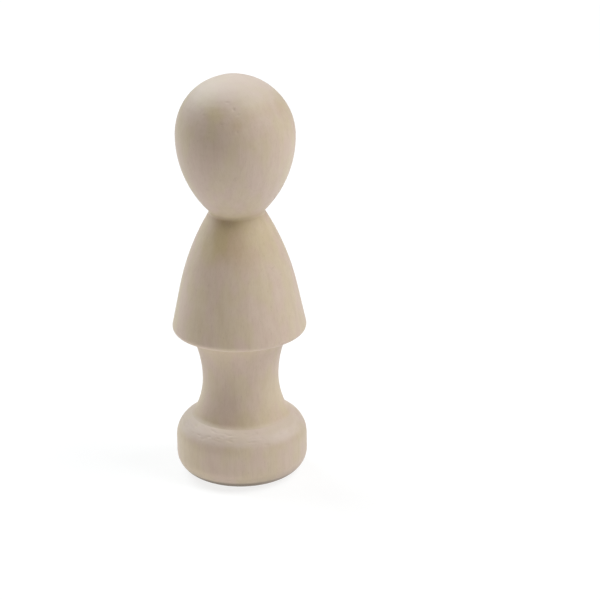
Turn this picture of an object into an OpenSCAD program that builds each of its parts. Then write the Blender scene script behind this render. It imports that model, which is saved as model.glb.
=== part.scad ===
// Turned wooden peg doll: a round base, a pair of legs as one waisted post, a flared dress
// and an egg-shaped head. Each is turned by itself. Two glued dowels on the doll's axis join them.
// Millimetres, +Z up, origin in the middle of the foot that the doll stands on.

/* [Base] */
// Diameter of the base
base_d = 22.2; // [20:0.2:26]
// Height of the base
base_h = 10.5; // [9:0.1:14]
// Height of the curved shoulder round the top of the base
base_shoulder_h = 3.9; // [1:0.1:4.2]
// Width of the curved shoulder, measured towards the axis
base_shoulder_w = 2.5; // [1:0.1:3]
// Height of the hollow curve that leads from the shoulder up to the legs
base_cove_h = 0.1; // [0.05:0.05:0.3]
// Width of that hollow curve, measured towards the axis
base_cove_w = 0.2; // [0.1:0.1:0.5]
// Radius of the rounded edge round the foot
base_foot_round = 3.8; // [1:0.1:4.6]

/* [Legs] */
// Height of the legs, from the base to the hem
legs_h = 15.1; // [12:0.1:22]
// Height of the hollow curve that spreads the legs out to the base
legs_cove_h = 0.7; // [0.3:0.1:1.2]
// Width of that hollow curve, measured towards the axis
legs_cove_w = 0.6; // [0.2:0.1:1]
// Diameter at the narrowest place
legs_waist_d = 12.9; // [10:0.1:13.6]
// Diameter where the legs meet the underside of the dress
legs_top_d = 17; // [14:0.1:20]
// Height of the narrowest place above the base
legs_waist_h = 6.6; // [4:0.1:10]

/* [Dress] */
// Height of the dress, from the hem to the neck
dress_h = 21.1; // [18:0.1:28]
// Diameter of the dress at its widest, just above the hem
hem_d = 22.6; // [21:0.1:26]
// Radius of the rounded edge round the hem
hem_round = 0.9; // [0.4:0.1:1.6]
// Height at which the straight flare of the skirt ends and the shoulders begin
flare_h = 7.8; // [5:0.1:12]
// Angle of the straight flare from upright
flare_angle = 12; // [6:0.5:16]

/* [Head] */
// Diameter of the head at its widest
head_d = 20; // [17:0.2:24]
// Height of the head above the neck
head_h = 23.3; // [19:0.1:30]
// Diameter of the neck, where the head sits on the dress
neck_d = 9.4; // [8.4:0.1:12]
// Height of the hollow curve that softens the neck, above its joint and below
neck_cove_h = 0.4; // [0.2:0.1:0.8]
// Depth of that hollow curve, measured towards the axis
neck_cove_w = 0.15; // [0.05:0.05:0.3]

/* [Dowels] */
// Diameter of the dowel that joins the base, legs and dress
core_dowel_d = 6; // [4:0.1:7]
// Depth to which the core dowel goes into the base
base_socket = 6; // [4:0.1:7]
// Depth to which the core dowel goes into the dress
dress_socket = 7; // [4:0.1:8]
// Diameter of the dowel that joins the head and the dress
neck_dowel_d = 5; // [3:0.1:6]
// Depth to which the neck dowel goes into the head, and into the dress
neck_socket = 8; // [5:0.1:9]
// Bevel at each end of a dowel
dowel_bevel = 0.6; // [0.2:0.1:1]
// Number of glue flutes round a dowel
flute_count = 16; // [8:1:20]
// Diameter of the cutter that makes a flute, centred on the dowel's surface
flute_d = 0.5; // [0.2:0.1:0.6]
// Bevel round the mouth of a dowel hole, where spare glue gathers
mouth_bevel = 0.4; // [0.2:0.1:0.8]
// Gap for glue all round a dowel in its hole
glue_line = 0.05; // [0.02:0.01:0.1]
// Room for glue between the end of a dowel and the end of its hole
glue_room = 0.3; // [0.1:0.1:0.8]

/* [Hidden] */

// Heights of the joints above the foot
legs_z = base_h;
dress_z = legs_z + legs_h;
neck_z = dress_z + dress_h;

// Radius at which the outsides of the base and legs meet
legs_foot_r = base_d / 2 - base_shoulder_w - base_cove_w;

// Length by which a cut runs past the face that it starts from
overrun = 1;
// Chords in one arc of an outline, and in a small hollow curve at a joint
arc_chords = 24;
cove_chords = 6;
$fn = 96;

turned_wood = [0.86, 0.78, 0.67];
dowel_wood = [0.84, 0.71, 0.54];

// Directions in an outline, as angles from the radius towards the axis of the lathe
outwards = 0;
upwards = 90;
downwards = -90;

function heading(from, to) = atan2(to[1] - from[1], to[0] - from[0]);

// Direction in which the arc that leaves one point in a given direction arrives at another
function arrival(from, direction, to) = 2 * heading(from, to) - direction;

// Points of the arc that leaves one point in a given direction and ends at another
function arc(from, direction, to, chords = arc_chords) =
    let (
        chord = norm(to - from),
        turn = (heading(from, to) - direction + 540) % 360 - 180
    )
    [
        for (step = [0 : chords])
            let (
                share = step / chords,
                reach = turn == 0 ? share : sin(turn * share) / sin(turn)
            )
            from + chord * reach * [cos(direction + turn * share), sin(direction + turn * share)]
    ];

// A solid turned on the lathe from half its outline, given as points of radius and height
module turned(outline) {
    rotate_extrude() polygon(outline);
}

// A hole for a dowel, from a face at height 0 up to a depth, with a bevelled mouth and room for glue
module dowel_hole(diameter, depth) {
    hole_d = diameter + 2 * glue_line;
    translate([0, 0, -overrun])
        cylinder(d = hole_d, h = overrun + depth + glue_room);
    cylinder(d1 = hole_d + 2 * mouth_bevel, d2 = hole_d, h = mouth_bevel);
}

// The same hole, from a face at a given height down to a depth
module dowel_hole_below(face_z, diameter, depth) {
    translate([0, 0, face_z]) mirror([0, 0, 1]) dowel_hole(diameter, depth);
}

// A dowel with bevelled ends and glue flutes, standing on height 0
module dowel(diameter, length) {
    radius = diameter / 2;
    difference() {
        turned([
            [0, 0],
            [radius - dowel_bevel, 0],
            [radius, dowel_bevel],
            [radius, length - dowel_bevel],
            [radius - dowel_bevel, length],
            [0, length]
        ]);
        for (flute = [0 : flute_count - 1])
            rotate([0, 0, flute * 360 / flute_count])
                translate([radius, 0, -overrun])
                    cylinder(d = flute_d, h = length + 2 * overrun);
    }
}

// Round base with a rounded foot and a domed shoulder, which hollows up to the legs
module base() {
    radius = base_d / 2;
    foot = [radius - base_foot_round, 0];
    side_bottom = [radius, base_foot_round];
    shoulder = [radius - base_shoulder_w, base_h - base_cove_h];
    side_top = [radius, shoulder[1] - base_shoulder_h];
    joint = [legs_foot_r, base_h];
    below_joint = arc(shoulder, arrival(side_top, upwards, shoulder), joint, cove_chords);
    outline = concat(
        [[0, 0]],
        arc(foot, outwards, side_bottom),
        arc(side_top, upwards, shoulder),
        [for (step = [1 : cove_chords]) below_joint[step]],
        [[0, base_h]]
    );
    color(turned_wood)
        difference() {
            turned(outline);
            dowel_hole_below(base_h, core_dowel_d, base_socket);
        }
}

// Legs as one post, hollowed to a waist, spread at the foot and bored right through for the core dowel
module legs() {
    foot = [legs_foot_r, 0];
    ankle = foot + [-legs_cove_w, legs_cove_h];
    waist = [legs_waist_d / 2, legs_waist_h];
    top = [legs_top_d / 2, legs_h];
    above_foot = arc(ankle, arrival(waist, downwards, ankle), foot, cove_chords);
    below_waist = arc(waist, downwards, ankle);
    above_waist = arc(waist, upwards, top);
    outline = concat(
        [[0, 0]],
        [for (step = [cove_chords : -1 : 1]) above_foot[step]],
        [for (step = [arc_chords : -1 : 1]) below_waist[step]],
        above_waist,
        [[0, legs_h]]
    );
    color(turned_wood)
        translate([0, 0, legs_z])
            difference() {
                turned(outline);
                dowel_hole(core_dowel_d, legs_h);
                dowel_hole_below(legs_h, core_dowel_d, legs_h);
            }
}

// Dress with a rounded hem, a straight flare, and shoulders that bow in and then hollow up to the neck
module dress() {
    hem_centre = [hem_d / 2 - hem_round, hem_round];
    hem_bottom = [hem_centre[0], 0];
    hem_top = hem_centre + hem_round * [cos(flare_angle), sin(flare_angle)];
    flare_rise = flare_h - hem_top[1];
    chest = hem_top + flare_rise * [-tan(flare_angle), 1];
    neck = [neck_d / 2, dress_h];
    shoulder = neck + [neck_cove_w, -neck_cove_h];
    below_neck = arc(neck, downwards, shoulder, cove_chords);
    outline = concat(
        [[0, 0]],
        arc(hem_bottom, outwards, hem_top),
        arc(chest, upwards + flare_angle, shoulder),
        [for (step = [cove_chords - 1 : -1 : 0]) below_neck[step]],
        [[0, dress_h]]
    );
    color(turned_wood)
        translate([0, 0, dress_z])
            difference() {
                turned(outline);
                dowel_hole(core_dowel_d, dress_socket);
                dowel_hole_below(dress_h, neck_dowel_d, neck_socket);
            }
}

// Egg-shaped head: half a ball above its widest place, and below it a longer curve that hollows to the neck
module head() {
    radius = head_d / 2;
    neck = [neck_d / 2, 0];
    jaw = neck + [neck_cove_w, neck_cove_h];
    widest = [radius, head_h - radius];
    crown = [0, head_h];
    above_neck = arc(neck, upwards, jaw, cove_chords);
    below_widest = arc(widest, downwards, jaw);
    above_widest = arc(widest, upwards, crown);
    outline = concat(
        [[0, 0]],
        above_neck,
        [for (step = [arc_chords - 1 : -1 : 1]) below_widest[step]],
        above_widest
    );
    color(turned_wood)
        translate([0, 0, neck_z])
            difference() {
                turned(outline);
                dowel_hole(neck_dowel_d, neck_socket);
            }
}

// Dowel that holds the base, legs and dress together
module core_dowel() {
    color(dowel_wood)
        translate([0, 0, legs_z - base_socket])
            dowel(core_dowel_d, base_socket + legs_h + dress_socket);
}

// Dowel that holds the head on the dress
module neck_dowel() {
    color(dowel_wood)
        translate([0, 0, neck_z - neck_socket])
            dowel(neck_dowel_d, 2 * neck_socket);
}

base();
legs();
dress();
head();
core_dowel();
neck_dowel();
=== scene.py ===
import math

import bmesh
import bpy
from mathutils import Matrix, Vector, noise


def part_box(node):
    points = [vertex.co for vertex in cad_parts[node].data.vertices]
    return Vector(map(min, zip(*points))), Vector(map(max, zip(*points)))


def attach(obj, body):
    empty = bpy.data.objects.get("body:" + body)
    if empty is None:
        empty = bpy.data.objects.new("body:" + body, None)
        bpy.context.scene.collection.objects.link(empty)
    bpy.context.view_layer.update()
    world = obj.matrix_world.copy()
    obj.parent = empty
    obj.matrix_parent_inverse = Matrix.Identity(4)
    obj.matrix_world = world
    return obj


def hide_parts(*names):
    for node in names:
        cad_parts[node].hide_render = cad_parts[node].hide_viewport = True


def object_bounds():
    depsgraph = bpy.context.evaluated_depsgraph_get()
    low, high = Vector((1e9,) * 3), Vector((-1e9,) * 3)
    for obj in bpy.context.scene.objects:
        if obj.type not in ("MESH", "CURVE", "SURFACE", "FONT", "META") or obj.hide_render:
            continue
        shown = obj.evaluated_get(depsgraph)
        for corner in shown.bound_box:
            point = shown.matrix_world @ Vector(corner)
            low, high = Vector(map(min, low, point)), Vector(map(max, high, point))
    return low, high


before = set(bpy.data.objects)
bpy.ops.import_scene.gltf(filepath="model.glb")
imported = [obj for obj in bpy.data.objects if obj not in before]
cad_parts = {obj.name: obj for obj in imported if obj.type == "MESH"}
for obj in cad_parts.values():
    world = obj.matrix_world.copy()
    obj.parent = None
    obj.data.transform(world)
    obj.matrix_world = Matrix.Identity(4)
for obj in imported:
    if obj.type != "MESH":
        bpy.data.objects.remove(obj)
cad_low, cad_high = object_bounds()


# The base: a bun of pale, close-grained wood, turned between centres from a square stick with the
# grain upright, sanded while it spins and left bare. A hole bored down from its top takes the dowel
# that holds the base, legs and dress together.
base_low, base_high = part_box("base")
core_low, core_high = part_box("core_dowel")

# Sizes in metres, as in the rest of the script
base_shoulder_height = 0.0039
base_shoulder_width = 0.0025
base_cove_height = 0.0001
base_cove_width = 0.0002
base_foot_round = 0.0038
glue_line = 0.00005
glue_room = 0.0003
mouth_bevel = 0.0004
base_radius = base_high.x
core_hole_radius = core_high.x + glue_line

# Distance between the rings of a turned mesh, the fewest chords in an arc, the number of facets round
# the mesh, and the angle in degrees from which an edge stays crisp
ring_step = 0.00015
least_chords = 6
facets_round = 320
crisp_angle = 30


def straight(start, finish):
    """Points of a straight stretch of an outline, a ring step apart, without the first one."""
    start, finish = Vector(start), Vector(finish)
    count = max(1, math.ceil((finish - start).length / ring_step))
    return [start.lerp(finish, step / count) for step in range(1, count + 1)]


def arc(start, heading, finish):
    """Points of the arc that leaves start at a heading in degrees and ends at finish, without the first."""
    start, finish = Vector(start), Vector(finish)
    chord = finish - start
    turn = math.atan2(chord.y, chord.x) - math.radians(heading)
    turn = math.remainder(turn, math.tau)
    length = chord.length * turn / math.sin(turn)
    count = max(least_chords, math.ceil(length / ring_step))
    points = []
    for step in range(1, count + 1):
        swing = turn * step / count
        direction = math.radians(heading) + swing
        reach = chord.length * math.sin(swing) / math.sin(turn)
        points.append(start + reach * Vector((math.cos(direction), math.sin(direction))))
    return points


def end_heading(start, heading, finish):
    """Heading in degrees at which that arc arrives at finish."""
    chord = Vector(finish) - Vector(start)
    return 2 * math.degrees(math.atan2(chord.y, chord.x)) - heading


def arc_back(start, heading, finish):
    """Points of the same arc walked from finish back to start, without the first one."""
    points = arc(start, heading, finish)
    return points[-2::-1] + [Vector(start)]


def turned(outline, closed=False):
    """A bmesh turned from half an outline of radius and height, which runs from axis to axis or is closed."""
    bm = bmesh.new()
    points = [bm.verts.new((point[0], 0, point[1])) for point in outline]
    lines = [bm.edges.new(pair) for pair in zip(points, points[1:])]
    if closed:
        lines.append(bm.edges.new((points[-1], points[0])))
    bmesh.ops.spin(
        bm,
        geom=points + lines,
        cent=(0, 0, 0),
        axis=(0, 0, 1),
        angle=math.tau,
        steps=facets_round,
        use_merge=True,
    )
    bmesh.ops.remove_doubles(bm, verts=bm.verts, dist=ring_step / 100)
    bmesh.ops.recalc_face_normals(bm, faces=bm.faces)
    return bm


def smooth(low, high, value):
    """Rises from 0 at low to 1 at high with level ends."""
    share = min(1, max(0, (value - low) / (high - low)))
    return share * share * (3 - 2 * share)


def radius_of(place):
    """Distance from the doll's axis."""
    return math.hypot(place.x, place.y)


def bearing_of(place):
    """Degrees round the doll, from the side towards the camera to its right."""
    return math.degrees(math.atan2(place.x, -place.y))


# How far hand sanding leaves a turned face off true, and the size of its hollows
sanding_depth = 0.00003
sanding_size = 0.006
# Depth and spacing of the ridges that the gouge leaves under the sanding, and their waviness in radians
ridge_depth = 0.000008
ridge_pitch = 0.0011
ridge_wave = 3
# Width of the strip next to a joint or an end that stays true
true_strip = 0.0006
# Move through the noise from one piece to the next, so that no two are worn alike
piece_drift = Vector((3.1, 1.7, 2.3))


def sand(bm, low, high, inner_radius, number, depth=sanding_depth):
    """Wears the outside of the turned mesh of that number by hundredths of a millimetre, always inwards."""
    bm.normal_update()
    drift = number * piece_drift
    for vert in bm.verts:
        place = vert.co
        if radius_of(place) < inner_radius:
            continue
        strip = smooth(0, true_strip, min(place.z - low, high - place.z))
        hollow = 0.5 + 0.5 * noise.noise(place / sanding_size + drift)
        wander = ridge_wave * noise.noise(2 * place / sanding_size - drift)
        ridge = 0.5 + 0.5 * math.sin(math.tau * place.z / ridge_pitch + wander)
        vert.co -= vert.normal * strip * (depth * hollow + ridge_depth * ridge)


def finished(name, bm, material, node):
    """Turns a bmesh into the doll's piece of that name, which stands for a CAD node."""
    mesh = bpy.data.meshes.new(name)
    bm.to_mesh(mesh)
    bm.free()
    mesh.shade_smooth()
    mesh.set_sharp_from_angle(angle=math.radians(crisp_angle))
    mesh.materials.append(material)
    piece = bpy.data.objects.new(name, mesh)
    bpy.context.collection.objects.link(piece)
    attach(piece, "root")
    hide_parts(node)


def empty_material(name):
    """A material with nothing in it yet, and its tree of shader nodes."""
    material = bpy.data.materials.new(name)
    material.use_nodes = True
    material.node_tree.nodes.clear()
    return material, material.node_tree


def wire(tree, kind, sockets=None, **settings):
    """A shader node with its settings, its sockets set to values or joined to other nodes."""
    made = tree.nodes.new("ShaderNode" + kind)
    for setting, value in settings.items():
        setattr(made, setting, value)
    for socket, value in (sockets or {}).items():
        if isinstance(value, bpy.types.NodeSocket):
            tree.links.new(value, made.inputs[socket])
        else:
            made.inputs[socket].default_value = value
    return made


def surface(tree, sockets):
    """Ends a tree of shader nodes with a surface that has these sockets."""
    shader = wire(tree, "BsdfPrincipled", sockets)
    wire(tree, "OutputMaterial", {"Surface": shader.outputs[0]})


def stretched_noise(tree, where, stretch, detail=2.0, roughness=0.5):
    """Cloudy noise whose clouds are as many millimetres long along each axis as stretch says."""
    scale = tuple(1 / length for length in stretch)
    place = wire(tree, "VectorMath", {0: where, 1: scale}, operation="MULTIPLY").outputs[0]
    made = wire(tree, "TexNoise", {"Vector": place, "Scale": 1.0, "Detail": detail, "Roughness": roughness})
    return made.outputs[0]


def band(tree, value, low, high, least=0.0, most=1.0):
    """Maps a value smoothly from the range low to high onto least to most."""
    made = wire(
        tree,
        "MapRange",
        {"Value": value, "From Min": low, "From Max": high, "To Min": least, "To Max": most},
        interpolation_type="SMOOTHSTEP",
    )
    return made.outputs[0]


def tinted(tree, share, colour, other, blend="MIX"):
    """One colour, giving way to another by a share, or stained by it."""
    made = wire(tree, "Mix", {0: share, 6: colour, 7: other}, data_type="RGBA", blend_type=blend)
    return made.outputs[2]


def sums(tree, operation, first, second=0.0):
    """Arithmetic on one value or two."""
    return wire(tree, "Math", {0: first, 1: second}, operation=operation).outputs[0]


# Colours of the bare wood, as linear light
wood_straw = (0.632, 0.514, 0.364, 1)
wood_rose = (0.645, 0.500, 0.408, 1)
wood_late = (0.53, 0.41, 0.295, 1)
wood_pale = (0.69, 0.58, 0.46, 1)
wood_fleck = (0.44, 0.33, 0.23, 1)
wood_pore = (0.38, 0.28, 0.19, 1)
# Dark brown for dirt in knocks and for painted shade
dirt_and_shade_brown = (0.17, 0.13, 0.09, 1)
end_grey = (0.73, 0.615, 0.54, 1)
# Amber for stains and for painted warm shade
amber_stain_and_shade = (0.90, 0.875, 0.70, 1)
no_tint = (1, 1, 1, 1)
# Millimetres from one growth ring to the next, and the radians that a wave texture turns in one unit
ring_width = 2.4
wave_turn = 20
millimetres = 1000


def bare_wood(name, pith, turn, slope, sapwood, stick=no_tint):
    """Bare pale wood. Pith is where the tree's middle lay beside the piece, in millimetres; turn is how the
    stick was held on the lathe and slope how far its grain leans, in degrees; sapwood is how much paler the
    stick is towards the bark, and stick its own tint."""
    material, tree = empty_material(name)
    held = (math.radians(slope), math.radians(slope / 2), math.radians(turn))
    where = wire(tree, "TexCoord").outputs["Object"]
    grain = wire(
        tree,
        "Mapping",
        {"Vector": where, "Location": pith, "Rotation": held, "Scale": (millimetres,) * 3},
    ).outputs[0]

    # Growth rings run round the pith, with a thin darker line where each year ends
    rings = wire(
        tree,
        "TexWave",
        {"Vector": grain, "Scale": math.tau / wave_turn / ring_width, "Distortion": 2.2, "Detail": 2.0,
         "Detail Scale": 0.35, "Detail Roughness": 0.5},
        wave_type="RINGS",
        rings_direction="Z",
        wave_profile="SAW",
    ).outputs["Fac"]
    clouds = stretched_noise(tree, grain, (3.4, 3.4, 6), 2.0)
    mottle = stretched_noise(tree, grain, (1.5, 1.5, 2.6), 3.0, 0.6)
    streaks = stretched_noise(tree, grain, (0.8, 0.8, 22), 2.0, 0.6)
    fibres = stretched_noise(tree, grain, (0.22, 0.22, 2.6), 2.0, 0.6)
    pores = stretched_noise(tree, grain, (0.10, 0.10, 0.9), 1.0)
    rays = stretched_noise(tree, grain, (2.0, 0.17, 0.9), 1.0)

    # Each pattern in the wood, with the values at which it starts to show and shows most, how strongly it
    # then shows, and its colour
    figure = (
        (mottle, 0.35, 0.65, 0.30, wood_pale),
        (rings, 0.45, 0.97, 0.10, wood_late),
        (streaks, 0.45, 0.75, 0.20, wood_late),
        (fibres, 0.45, 0.80, 0.30, wood_late),
        (pores, 0.66, 0.80, 0.35, wood_pore),
        (rays, 0.68, 0.80, 0.25, wood_fleck),
    )
    colour = tinted(tree, band(tree, clouds, 0.38, 0.62), wood_straw, wood_rose)
    for pattern, start, full, strength, tint in figure:
        colour = tinted(tree, band(tree, pattern, start, full, 0.0, strength), colour, tint)

    # The stick has a tint of its own and is paler towards the bark
    across = wire(tree, "VectorMath", {0: grain, 1: (1, 1, 0)}, operation="MULTIPLY").outputs[0]
    from_pith = wire(tree, "VectorMath", {0: across}, operation="LENGTH").outputs["Value"]
    middle = math.hypot(pith[0], pith[1])
    half = base_radius * millimetres
    pale = band(tree, from_pith, middle - half, middle + half, 1 - sapwood, 1 + sapwood)
    colour = tinted(tree, 1.0, colour, stick, "MULTIPLY")
    colour = wire(tree, "VectorMath", {0: colour, "Scale": pale}, operation="SCALE").outputs[0]

    # End grain, on the crown and the foot, is rougher and greyer, and so are torn fibres
    facing = wire(tree, "SeparateXYZ", {0: wire(tree, "NewGeometry").outputs["Normal"]}).outputs[2]
    end_grain = band(tree, sums(tree, "ABSOLUTE", facing), 0.55, 0.95, 0.0, 0.6)
    torn = wire(tree, "Attribute", attribute_name="torn").outputs["Fac"]
    end_grain = sums(tree, "MAXIMUM", end_grain, torn)
    colour = tinted(tree, end_grain, colour, end_grey)

    # Hand stains and painted warm shade by the neck tint it amber, knocks hold dirt, and painted shade
    # darkens the front of the head, the shoulders under the neck and the rim of the foot
    yellowed_and_warm_shade = wire(tree, "Attribute", attribute_name="yellowed_and_warm_shade").outputs["Fac"]
    dirt_and_shade = wire(tree, "Attribute", attribute_name="dirt_and_shade").outputs["Fac"]
    colour = tinted(tree, yellowed_and_warm_shade, colour, amber_stain_and_shade, "MULTIPLY")
    colour = tinted(tree, dirt_and_shade, colour, dirt_and_shade_brown)

    # Sanding has left some places smoother than others, and the fibres and pores can just be felt
    polish = band(tree, mottle, 0.3, 0.7, 0.50, 0.60)
    roughness = sums(tree, "ADD", polish, sums(tree, "MULTIPLY", end_grain, 0.12))
    relief = sums(tree, "SUBTRACT", sums(tree, "MULTIPLY", fibres, 0.6), band(tree, pores, 0.62, 0.8))
    bump = wire(tree, "Bump", {"Strength": 0.3, "Distance": 0.00003, "Height": relief})
    surface(
        tree,
        {"Base Color": colour, "Roughness": roughness, "Normal": bump.outputs[0], "Specular IOR Level": 0.5,
         "Sheen Weight": 0.12, "Sheen Roughness": 0.5},
    )
    return material


base_shoulder = (base_radius - base_shoulder_width, base_high.z - base_cove_height)
base_side_top = (base_radius, base_shoulder[1] - base_shoulder_height)
base_joint = (base_shoulder[0] - base_cove_width, base_high.z)
base_side_bottom = (base_radius, base_foot_round)
base_foot = (base_radius - base_foot_round, base_low.z)
core_hole_bottom = core_low.z - glue_room

base_outline = [
    (0, core_hole_bottom),
    (core_hole_radius, core_hole_bottom),
    (core_hole_radius, base_high.z - mouth_bevel),
    (core_hole_radius + mouth_bevel, base_high.z),
    base_joint,
]
base_outline += arc_back(base_shoulder, end_heading(base_side_top, 90, base_shoulder), base_joint)
base_outline += arc_back(base_side_top, 90, base_shoulder)
base_outline += straight(base_side_top, base_side_bottom)
base_outline += arc(base_side_bottom, -90, base_foot)
base_outline += straight(base_foot, (0, base_low.z))

base = turned(base_outline)
sand(base, base_low.z, base_high.z, core_hole_radius + mouth_bevel, 1)

# The gouge tore short fibres out of the base's upper edge. Depth and size of the pits that this left,
# and the heights between which they fade in
tear_depth = 0.00007
tear_round = 0.0013
tear_along = 0.0005
torn_low = base_high.z - 0.0028
torn_full = base_high.z - 0.0016
tear_drift = 7.3
base.normal_update()
torn = base.verts.layers.float.new("torn")
for vert in base.verts:
    radius = radius_of(vert.co)
    if vert.co.z < torn_low or radius < base_shoulder[0]:
        continue
    edge = smooth(torn_low, torn_full, vert.co.z)
    round_the_edge = math.radians(bearing_of(vert.co)) * radius / tear_round
    spot = Vector((round_the_edge, (radius - vert.co.z) / tear_along, tear_drift))
    outside = smooth(base_shoulder[0], base_shoulder[0] + tear_along, radius)
    pit = outside * smooth(0.15, 0.55, noise.noise(spot))
    vert[torn] = edge * (0.5 + 0.3 * noise.noise(spot / 3) - 0.15 * pit)
    vert.co -= vert.normal * tear_depth * edge * pit

# The rim that the doll stands on is darkened by painted contact shadow, strong up to one height and faint up
# to another, both a little way in under the foot, and lighter on the right, towards the right lamp. The
# parting tool left rings on the foot's flat
rim_dark = 0.0012
rim_height = 0.0018
rim_reach = 0.0032
rim_inside = 0.0018
rim_contact_shadow = 0.65
rim_faint_shadow = 0.3
rim_lighter_right = 0.35
foot_ring_depth = 0.00002
foot_ring_pitch = 0.0006
dirt_and_shade = base.verts.layers.float.new("dirt_and_shade")
for vert in base.verts:
    if vert.co.z > rim_reach:
        continue
    radius = radius_of(vert.co)
    bearing = bearing_of(vert.co)
    lit_right = rim_lighter_right * (smooth(0, 60, bearing) - smooth(120, 180, bearing))
    contact_shade = rim_contact_shadow * (1 - lit_right) * (1 - smooth(rim_dark, rim_height, vert.co.z))
    faint_shade = rim_faint_shadow * (1 - smooth(rim_dark, rim_reach, vert.co.z))
    vert[dirt_and_shade] = (contact_shade + faint_shade) * smooth(base_foot[0] - rim_inside, base_foot[0], radius)
    if vert.co.z < foot_ring_depth:
        inside = 1 - smooth(base_foot[0] - foot_ring_pitch, base_foot[0], radius)
        ring = 0.5 + 0.5 * math.sin(math.tau * radius / foot_ring_pitch)
        vert.co.z += foot_ring_depth * inside * ring
base_wood = bare_wood("base_wood", pith=(-38, -20, 0), turn=20, slope=1.5, sapwood=0.06)
finished("turned_base", base, base_wood, "base")


# The legs: one post of the same wood, hollowed to a waist with a gouge and bored right through, so
# that the long dowel passes up it from the base into the dress.
legs_low, legs_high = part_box("legs")
legs_cove_height = 0.0007
legs_cove_width = 0.0006
legs_waist_radius = 0.00645
legs_waist_z = legs_low.z + 0.0066
legs_foot = (base_joint[0], legs_low.z)
legs_ankle = (legs_foot[0] - legs_cove_width, legs_low.z + legs_cove_height)
legs_waist = (legs_waist_radius, legs_waist_z)
legs_top = (legs_high.x, legs_high.z)

legs_outline = [legs_waist]
legs_outline += arc(legs_waist, 90, legs_top)
legs_outline += [
    (core_hole_radius + mouth_bevel, legs_high.z),
    (core_hole_radius, legs_high.z - mouth_bevel),
    (core_hole_radius, legs_low.z + mouth_bevel),
    (core_hole_radius + mouth_bevel, legs_low.z),
    legs_foot,
]
legs_outline += arc_back(legs_ankle, end_heading(legs_waist, -90, legs_ankle), legs_foot)
legs_outline += arc_back(legs_waist, -90, legs_ankle)[:-1]

legs = turned(legs_outline, closed=True)
sand(legs, legs_low.z, legs_high.z, core_hole_radius + mouth_bevel, 2)

# The foot of the legs is tinted yellower and a little darker towards its joint with the base
legs_foot_reach = 0.0045
legs_foot_tint = 0.2
yellowed_and_warm_shade = legs.verts.layers.float.new("yellowed_and_warm_shade")
for vert in legs.verts:
    vert[yellowed_and_warm_shade] = legs_foot_tint * (1 - smooth(0, legs_foot_reach, vert.co.z - legs_low.z))
legs_wood = bare_wood("legs_wood", pith=(-30, 44, 7), turn=75, slope=-1.0, sapwood=0.02)
finished("turned_legs", legs, legs_wood, "legs")


# The dress: a bell of the same wood with a rounded hem, a straight flare and shoulders that bow in
# to the neck. It is bored from below for the long dowel and from above for the neck's own dowel.
dress_low, dress_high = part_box("dress")
neck_pin_low, neck_pin_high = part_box("neck_dowel")
hem_round = 0.0009
flare_height = 0.0078
flare_angle = 12
neck_radius = 0.0047
neck_cove_height = 0.0004
neck_cove_width = 0.00015
neck_hole_radius = neck_pin_high.x + glue_line

hem_middle = Vector((dress_high.x - hem_round, dress_low.z + hem_round))
flare_turn = math.radians(flare_angle)
hem_top = hem_middle + hem_round * Vector((math.cos(flare_turn), math.sin(flare_turn)))
flare_rise = dress_low.z + flare_height - hem_top.y
chest = hem_top + flare_rise * Vector((-math.tan(flare_turn), 1))
hem_bottom = (hem_middle.x, dress_low.z)
neck = (neck_radius, dress_high.z)
shoulder = (neck_radius + neck_cove_width, dress_high.z - neck_cove_height)
core_hole_top = core_high.z + glue_room
neck_hole_bottom = neck_pin_low.z - glue_room

dress_outline = [
    (0, core_hole_top),
    (core_hole_radius, core_hole_top),
    (core_hole_radius, dress_low.z + mouth_bevel),
    (core_hole_radius + mouth_bevel, dress_low.z),
    hem_bottom,
]
dress_outline += arc(hem_bottom, 0, hem_top)
dress_outline += straight(hem_top, chest)
dress_outline += arc(chest, 90 + flare_angle, shoulder)
dress_outline += arc_back(neck, -90, shoulder)
dress_outline += [
    (neck_hole_radius + mouth_bevel, dress_high.z),
    (neck_hole_radius, dress_high.z - mouth_bevel),
    (neck_hole_radius, neck_hole_bottom),
    (0, neck_hole_bottom),
]

dress = turned(dress_outline)
sand(dress, dress_low.z, dress_high.z, core_hole_radius + mouth_bevel, 3)

# Painted warm shade where the head shadows the front of the shoulders below the neck, mostly on the left,
# darkens and yellows them. How far down it is full and reaches, its strength, and how ragged its edges are
shadow_full = 0.0045
shadow_reach = 0.0095
head_shadow_tint = 0.9
ragged_height = 0.0015
ragged_degrees = 12
yellowed_and_warm_shade = dress.verts.layers.float.new("yellowed_and_warm_shade")
for vert in dress.verts:
    below_neck = dress_high.z - vert.co.z + ragged_height * noise.noise(vert.co / 0.004)
    bearing = bearing_of(vert.co) + ragged_degrees * noise.noise(vert.co / 0.003)
    shadow_side = smooth(-60, -30, bearing) - 0.8 * smooth(-20, 80, bearing) - 0.2 * smooth(100, 160, bearing)
    vert[yellowed_and_warm_shade] = head_shadow_tint * shadow_side * (1 - smooth(shadow_full, shadow_reach, below_neck))


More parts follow.
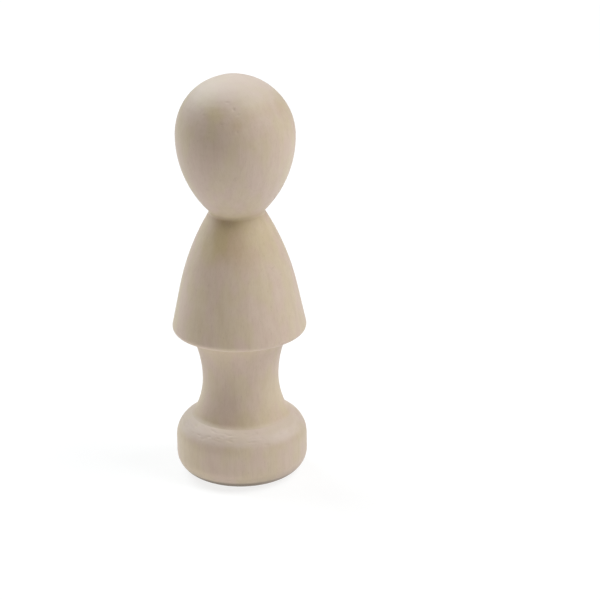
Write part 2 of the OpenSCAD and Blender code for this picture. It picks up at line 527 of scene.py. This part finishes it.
def mark(bm, note, share, places):
    """Presses marks into the outside of a turned mesh and notes them, by a share, in an attribute. A place is
    its bearing in degrees, then its height, its width round the piece, its length along it and its depth."""
    bm.normal_update()
    noted = bm.verts.layers.float.get(note) or bm.verts.layers.float.new(note)
    for bearing, height, width, length, depth in places:
        aim = Vector((math.sin(math.radians(bearing)), -math.cos(math.radians(bearing)), 0))
        across = Vector((-aim.y, aim.x, 0))
        level = [vert for vert in bm.verts if abs(vert.co.z - height) < length and vert.co.dot(aim) > 0]
        middle = min(level, key=lambda vert: abs(vert.co.dot(across)) + abs(vert.co.z - height))
        along = middle.normal.cross(across)
        centre = middle.co.copy()
        for vert in level:
            offset = vert.co - centre
            span = math.hypot(offset.dot(across) / width, offset.dot(along) / length) * 2
            press = 1 - smooth(0, 1, span)
            vert[noted] = max(vert[noted], share * press)
            vert.co -= vert.normal * depth * press


# Painted shade darkens the shoulders under the neck, towards the left of the front
under_neck_shade = ((-20, 0.0459, 0.0060, 0.0030, 0),)
mark(dress, "dirt_and_shade", share=0.10, places=under_neck_shade)
dress_wood = bare_wood("dress_wood", pith=(50, -12, 3), turn=130, slope=1.0, sapwood=0.01)
finished("turned_dress", dress, dress_wood, "dress")


# The head: an egg of the same wood, half a ball above its widest place and a longer curve below it,
# sanded most of all because it is held by hand. Its narrow end is bored for the neck's dowel.
head_low, head_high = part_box("head")
head_radius = head_high.x
head_widest = (head_radius, head_high.z - head_radius)
head_neck = (neck_radius, head_low.z)
jaw = (neck_radius + neck_cove_width, head_low.z + neck_cove_height)
neck_hole_top = neck_pin_high.z + glue_room

head_outline = [
    (0, neck_hole_top),
    (neck_hole_radius, neck_hole_top),
    (neck_hole_radius, head_low.z + mouth_bevel),
    (neck_hole_radius + mouth_bevel, head_low.z),
    head_neck,
]
head_outline += arc(head_neck, 90, jaw)
head_outline += arc_back(head_widest, -90, jaw)
head_outline += arc(head_widest, 90, (0, head_high.z))

head = turned(head_outline)
sand(head, head_low.z, head_high.z, neck_hole_radius + mouth_bevel, 4, depth=2 * sanding_depth)

# The crown came off the lathe a little to one side
crown_drift = 0.0002
for vert in head.verts:
    vert.co.x -= crown_drift * smooth(head_widest[1], head_high.z, vert.co.z)

# Small knocks and torn fibres on the forehead, each as bearing, height, width, length and depth
head_knocks = (
    (0, 0.0666, 0.0007, 0.0010, 0.00007),
    (5, 0.0658, 0.0012, 0.0006, 0.00003),
    (-9, 0.0675, 0.0013, 0.0006, 0.00003),
    (-35, 0.0655, 0.0009, 0.0007, 0.00004),
    (3, 0.0634, 0.0006, 0.0008, 0.00008),
    (18, 0.0604, 0.0010, 0.0006, 0.00005),
    (-31, 0.0593, 0.0012, 0.0004, 0.00004),
    (-29, 0.0585, 0.0010, 0.0004, 0.00005),
    (-13, 0.0645, 0.0008, 0.0007, 0.00005),
)
mark(head, "dirt_and_shade", share=0.07, places=head_knocks)

# Painted shade on the front of the head, left of the middle, where neither lamp reaches, and the places where
# hands have turned the forehead yellower, in the same terms, with no depth
head_front_shade = ((-14, 0.0614, 0.0110, 0.0095, 0),)
head_yellowed = (
    (-21, 0.0659, 0.0070, 0.0055, 0),
    (3, 0.0643, 0.0060, 0.0040, 0),
    (21, 0.0656, 0.0060, 0.0050, 0),
    (40, 0.0660, 0.0070, 0.0050, 0),
    (66, 0.0655, 0.0060, 0.0050, 0),
)
mark(head, "dirt_and_shade", share=0.05, places=head_front_shade)
mark(head, "yellowed_and_warm_shade", share=0.55, places=head_yellowed)

# The head is a little yellower round its middle, and painted warm shade darkens it in the crease by the neck
held_height = 0.0615
held_reach = 0.0080
held_stain = 0.2
neck_crease_reach = 0.0020
neck_crease_shade = 0.7
yellowed_and_warm_shade = head.verts.layers.float.get("yellowed_and_warm_shade")
for vert in head.verts:
    held = held_stain * (1 - smooth(0, held_reach, abs(vert.co.z - held_height)))
    in_crease = neck_crease_shade * (1 - smooth(0, neck_crease_reach, vert.co.z - head_low.z))
    vert[yellowed_and_warm_shade] = max(vert[yellowed_and_warm_shade], held, in_crease)
head_tint = (0.98, 0.985, 1.010, 1)
head_wood = bare_wood("head_wood", pith=(-20, -48, 0), turn=200, slope=2.0, sapwood=0.03, stick=head_tint)
finished("turned_head", head, head_wood, "head")


# The dowels: two lengths of fluted beech, one through the legs and one in the neck, glued in their
# holes before the turned pieces are pushed together. They keep the shape of their CAD nodes.
beech_pale = (0.60, 0.44, 0.28, 1)
beech_late = (0.50, 0.34, 0.20, 1)
beech_fleck = (0.27, 0.15, 0.08, 1)


def beech(name):
    """Straight-grained beech, a little browner than the turned wood, with its short dark flecks."""
    material, tree = empty_material(name)
    where = wire(tree, "TexCoord").outputs["Object"]
    grain = wire(tree, "Mapping", {"Vector": where, "Scale": (millimetres,) * 3}).outputs[0]
    streaks = stretched_noise(tree, grain, (0.5, 0.5, 14), 3.0, 0.6)
    flecks = stretched_noise(tree, grain, (1.2, 0.15, 1.2), 1.0)
    colour = tinted(tree, band(tree, streaks, 0.35, 0.7), beech_pale, beech_late)
    colour = tinted(tree, band(tree, flecks, 0.64, 0.76, 0.0, 0.7), colour, beech_fleck)
    bump = wire(tree, "Bump", {"Strength": 0.4, "Distance": 0.00004, "Height": streaks})
    surface(
        tree,
        {"Base Color": colour, "Roughness": 0.62, "Normal": bump.outputs[0], "Specular IOR Level": 0.3},
    )
    return material


dowel_beech = beech("dowel_beech")
for dowel_node in ("core_dowel", "neck_dowel"):
    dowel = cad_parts[dowel_node]
    dowel.data.materials.clear()
    dowel.data.materials.append(dowel_beech)


# The studio: a plain grey table that glows white round the doll's foot, a dim warm room, and two broad soft
# lights, one from the right and a cooler one from behind on the left, so that the side towards the camera
# is the darkest.
doll_middle = Vector((0, 0, (cad_low.z + cad_high.z) / 2))
table_reach = 1.5
table_grey = (0.25, 0.25, 0.25, 1)
table_white = (1, 1, 1, 1)
# Distances from the doll's axis between which the table's glow comes up to its full strength
glow_start = 0.0070
glow_full = 0.0080
glow_strength = 0.80

table_mesh = bpy.data.meshes.new("table")
table_bm = bmesh.new()
bmesh.ops.create_circle(table_bm, cap_ends=True, segments=96, radius=table_reach)
table_bm.to_mesh(table_mesh)
table_bm.free()
table = bpy.data.objects.new("table", table_mesh)
bpy.context.collection.objects.link(table)
table_top, table_tree = empty_material("table_top")
table_place = wire(table_tree, "TexCoord").outputs["Object"]
table_span = wire(table_tree, "VectorMath", {0: table_place}, operation="LENGTH").outputs["Value"]
table_glow = band(table_tree, table_span, glow_start, glow_full, 0.0, glow_strength)
surface(
    table_tree,
    {"Base Color": table_grey, "Roughness": 0.7, "Specular IOR Level": 0.2, "Emission Color": table_white,
     "Emission Strength": table_glow},
)
table_mesh.materials.append(table_top)

room = bpy.data.worlds.new("room")
room.use_nodes = True
room.node_tree.nodes["Background"].inputs["Color"].default_value = (1.0, 0.85, 0.78, 1)
room.node_tree.nodes["Background"].inputs["Strength"].default_value = 0.115
bpy.context.scene.world = room
bpy.context.scene.view_settings.view_transform = "Standard"


def softbox(name, bearing, elevation, distance, size, power, colour):
    """A square soft light that faces the doll. Bearing 0 is towards the camera and 90 to its right."""
    light = bpy.data.lights.new(name, "AREA")
    light.shape = "SQUARE"
    light.size = size
    light.energy = power
    light.color = colour
    turn, tilt = math.radians(bearing), math.radians(elevation)
    away = Vector((math.sin(turn) * math.cos(tilt), -math.cos(turn) * math.cos(tilt), math.sin(tilt)))
    lamp = bpy.data.objects.new(name, light)
    lamp.location = doll_middle + distance * away
    lamp.rotation_euler = away.to_track_quat("Z", "Y").to_euler()
    bpy.context.collection.objects.link(lamp)


right_white = (0.965, 1.0, 1.0)
left_blue = (0.87, 0.965, 1.0)
softbox("right_light", bearing=78, elevation=52, distance=0.6, size=0.4, power=2.82, colour=right_white)
softbox("left_light", bearing=-129, elevation=43, distance=0.6, size=0.45, power=2.85, colour=left_blue)


# The camera: a long lens half a metre away, looking down and leaning a little, with the doll left of the
# middle of the picture.
camera_distance = 0.5
camera_pitch = math.radians(21.3)
camera_lean = math.radians(0.83)
picture_width = 600
focal_pixels = 2986
doll_pixel = Vector((238.4, 276.2))

forward = Vector((0, math.cos(camera_pitch), -math.sin(camera_pitch)))
level_up = Vector((0, math.sin(camera_pitch), math.cos(camera_pitch)))
level_right = Vector((1, 0, 0))
right = level_right * math.cos(camera_lean) - level_up * math.sin(camera_lean)
up = level_right * math.sin(camera_lean) + level_up * math.cos(camera_lean)
metres_per_pixel = camera_distance / focal_pixels
sideways = (doll_pixel.x - picture_width / 2) * metres_per_pixel
upwards = (picture_width / 2 - doll_pixel.y) * metres_per_pixel

camera = bpy.data.cameras.new("camera")
camera.sensor_width = 36
camera.lens = camera.sensor_width * focal_pixels / picture_width
camera_object = bpy.data.objects.new("camera", camera)
turned_to = Matrix((right, up, -forward)).transposed()
camera_object.rotation_euler = turned_to.to_euler()
camera_object.location = doll_middle - camera_distance * forward - sideways * right - upwards * up
bpy.context.collection.objects.link(camera_object)
bpy.context.scene.camera = camera_object
